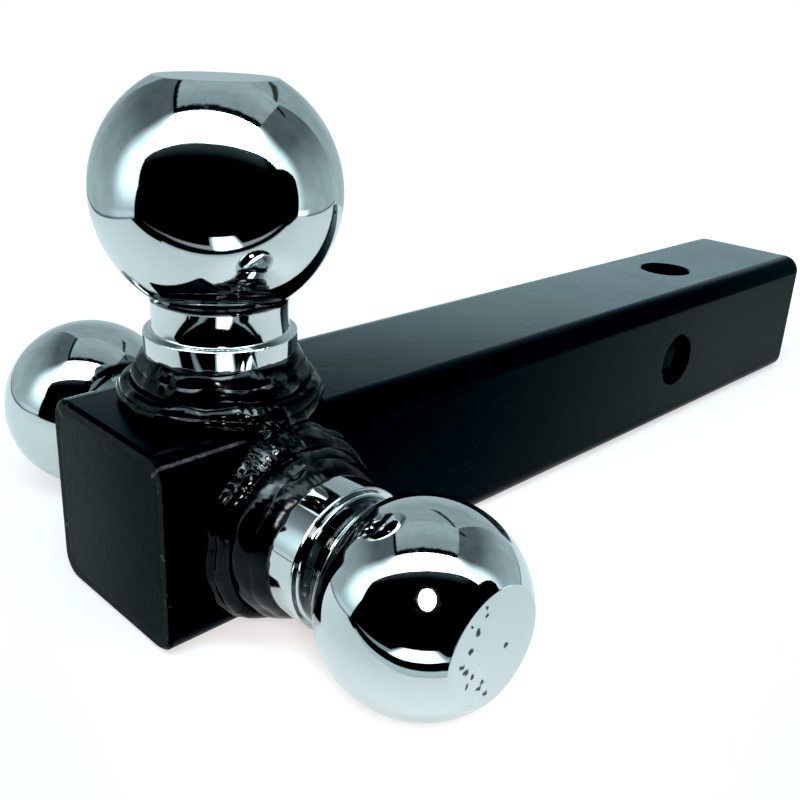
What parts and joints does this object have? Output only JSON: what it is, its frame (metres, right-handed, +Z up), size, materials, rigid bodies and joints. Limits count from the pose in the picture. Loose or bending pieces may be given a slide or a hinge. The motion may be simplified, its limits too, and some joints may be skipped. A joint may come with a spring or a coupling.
{
  "type": "tri-ball receiver hitch mount",
  "caption": "Square-tube receiver hitch mount with chrome tow balls of different sizes welded to its top and sides, closed front end and cross-drilled pin holes.",
  "frame": {"origin": "on the shank's axis, in the middle of the side-to-side hitch-pin bore", "axes": "+X along the shank from the receiver end to the balls, +Y towards the smallest ball, +Z up through the largest ball"},
  "size_m": [0.3175, 0.1838, 0.1271],
  "materials": {
    "shank_paint": "satin black powder coat on steel tube and plate",
    "weld_paint": "glossy black paint over rippled weld beads",
    "ball_chrome": "polished chrome plate on forged steel",
    "weld_metal": "bare deposited weld metal, sealed under the cover passes"
  },
  "bodies": {
    "root": {"shank_tube": "shank_paint", "front_end_cap": "shank_paint", "front_cap_weld": "shank_paint", "large_ball": "ball_chrome", "small_ball": "ball_chrome", "medium_ball": "ball_chrome", "large_ball_weld_root_pass": "weld_metal", "large_ball_weld_lower_pass": "weld_paint", "large_ball_weld_upper_pass": "weld_paint", "small_ball_weld_root_pass": "weld_metal", "small_ball_weld_lower_pass": "weld_paint", "small_ball_weld_upper_pass": "weld_paint", "medium_ball_weld_root_pass": "weld_metal", "medium_ball_weld_lower_pass": "weld_paint", "medium_ball_weld_upper_pass": "weld_paint"}
  },
  "joints": []
}
